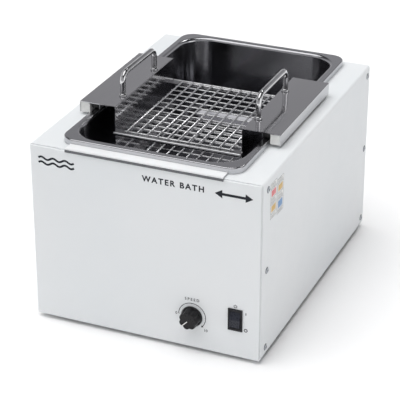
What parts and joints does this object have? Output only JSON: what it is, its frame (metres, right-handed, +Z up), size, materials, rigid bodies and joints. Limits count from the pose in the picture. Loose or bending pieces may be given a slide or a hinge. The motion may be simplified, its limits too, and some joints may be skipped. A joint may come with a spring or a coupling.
{
  "type": "shaking water bath",
  "caption": "Bench water bath with a lift-out wire-rack carriage that shakes over a steel tank.",
  "frame": {"origin": "centre of the case's footprint, on the surface that the feet stand on", "axes": "+X to the right facing the controls, +Y to the back, +Z up"},
  "size_m": [0.4204, 0.5776, 0.403],
  "materials": {
    "powder_coat": "white powder coat, semi-gloss",
    "tank_steel": "drawn stainless steel, bright",
    "carriage_steel": "stainless steel sheet, mirror",
    "wire_chrome": "electropolished wire",
    "handle_chrome": "polished rod",
    "screw_steel": "nickel plate",
    "white_plastic": "machined acetal",
    "roller_rubber": "black rubber tread",
    "foot_rubber": "moulded rubber",
    "knob_black": "moulded phenolic",
    "switch_black": "moulded nylon",
    "zinc_steel": "bright zinc plate",
    "ground_rod": "hardened and ground",
    "bush_bronze": "sintered bronze",
    "gear_alloy": "die-cast",
    "motor_black": "black enamel",
    "board_green": "solder-masked laminate"
  },
  "bodies": {
    "case": {"wrap_cover": "powder_coat", "front_panel": "powder_coat", "rear_panel": "powder_coat", "base_plate": "zinc_steel", "case_screws": "screw_steel", "foot_front_left": "foot_rubber", "foot_front_right": "foot_rubber", "foot_rear_left": "foot_rubber", "foot_rear_right": "foot_rubber", "foot_screws": "zinc_steel", "tank": "tank_steel", "rim_strip_front": "tank_steel", "rim_strip_rear": "tank_steel", "drive_bridge": "zinc_steel", "rod_blocks": "zinc_steel", "guide_rods": "ground_rod", "gearbox": "gear_alloy", "motor": "motor_black", "potentiometer": "knob_black", "switch_body": "switch_black", "power_inlet": "knob_black", "fuse_holder": "knob_black", "speed_board": "board_green", "board_posts": "white_plastic"},
    "shuttle": {"drive_beam": "zinc_steel", "beam_bushes": "bush_bronze", "drive_arm_left": "zinc_steel", "drive_arm_right": "zinc_steel", "pivot_pin": "ground_rod"},
    "link": {"connecting_rod": "zinc_steel"},
    "crank": {"crank_disc": "zinc_steel", "crank_pin": "ground_rod", "output_shaft": "ground_rod"},
    "carriage": {"side_channel_left": "carriage_steel", "side_channel_right": "carriage_steel", "upper_bar_front": "carriage_steel", "upper_bar_rear": "carriage_steel", "upper_rack": "wire_chrome", "lower_rack": "wire_chrome", "handle_left": "handle_chrome", "handle_right": "handle_chrome", "handle_collars": "handle_chrome", "handle_nuts": "zinc_steel", "axle_blocks": "white_plastic", "roller_axles": "ground_rod", "axle_cheeks": "zinc_steel", "drive_socket_left": "white_plastic", "drive_socket_right": "white_plastic"},
    "roller_front_left": {"roller_front_left": "roller_rubber"},
    "roller_front_right": {"roller_front_right": "roller_rubber"},
    "roller_rear_left": {"roller_rear_left": "roller_rubber"},
    "roller_rear_right": {"roller_rear_right": "roller_rubber"},
    "knob": {"speed_knob": "knob_black", "knob_spindle": "ground_rod"},
    "rocker": {"rocker_key": "switch_black"}
  },
  "joints": [
    {"name": "shake_slide", "type": "slide", "parent": "case", "child": "shuttle", "axis": [0, 1, 0], "range_m": [0, 0.04]},
    {"name": "crank_turn", "type": "hinge", "parent": "case", "child": "crank", "pos_m": [0, 0.101, 0.11], "axis": [0, 0, 1], "range_deg": [0, 180]},
    {"name": "link_swing", "type": "hinge", "parent": "shuttle", "child": "link", "pos_m": [0, -0.014, 0.1285], "axis": [0, 0, 1], "range_deg": [-12.2, 12.2]},
    {"name": "carriage_lift", "type": "slide", "parent": "shuttle", "child": "carriage", "axis": [0, 0, 1], "range_m": [0, 0.15]},
    {"name": "roller_turn_front_left", "type": "hinge", "parent": "carriage", "child": "roller_front_left", "pos_m": [-0.158, -0.122, 0.3503], "axis": [1, 0, 0], "range_deg": [-381.99, 0]},
    {"name": "roller_turn_front_right", "type": "hinge", "parent": "carriage", "child": "roller_front_right", "pos_m": [0.158, -0.122, 0.3503], "axis": [1, 0, 0], "range_deg": [-381.99, 0]},
    {"name": "roller_turn_rear_left", "type": "hinge", "parent": "carriage", "child": "roller_rear_left", "pos_m": [-0.158, 0.094, 0.3503], "axis": [1, 0, 0], "range_deg": [-381.99, 0]},
    {"name": "roller_turn_rear_right", "type": "hinge", "parent": "carriage", "child": "roller_rear_right", "pos_m": [0.158, 0.094, 0.3503], "axis": [1, 0, 0], "range_deg": [-381.99, 0]},
    {"name": "knob_turn", "type": "hinge", "parent": "case", "child": "knob", "pos_m": [0.086, -0.2866, 0.068], "axis": [0, 1, 0], "range_deg": [0, 270]},
    {"name": "rocker_tilt", "type": "hinge", "parent": "case", "child": "rocker", "pos_m": [0.1637, -0.2728, 0.079], "axis": [1, 0, 0], "range_deg": [0, 20]}
  ],
  "couplings": [
    {"joint": "crank_turn", "follows": "shake_slide", "rad_per_m": 78.54},
    {"joint": "roller_turn_front_left", "follows": "shake_slide", "rad_per_m": -166.67},
    {"joint": "roller_turn_front_right", "follows": "shake_slide", "rad_per_m": -166.67},
    {"joint": "roller_turn_rear_left", "follows": "shake_slide", "rad_per_m": -166.67},
    {"joint": "roller_turn_rear_right", "follows": "shake_slide", "rad_per_m": -166.67}
  ]
}
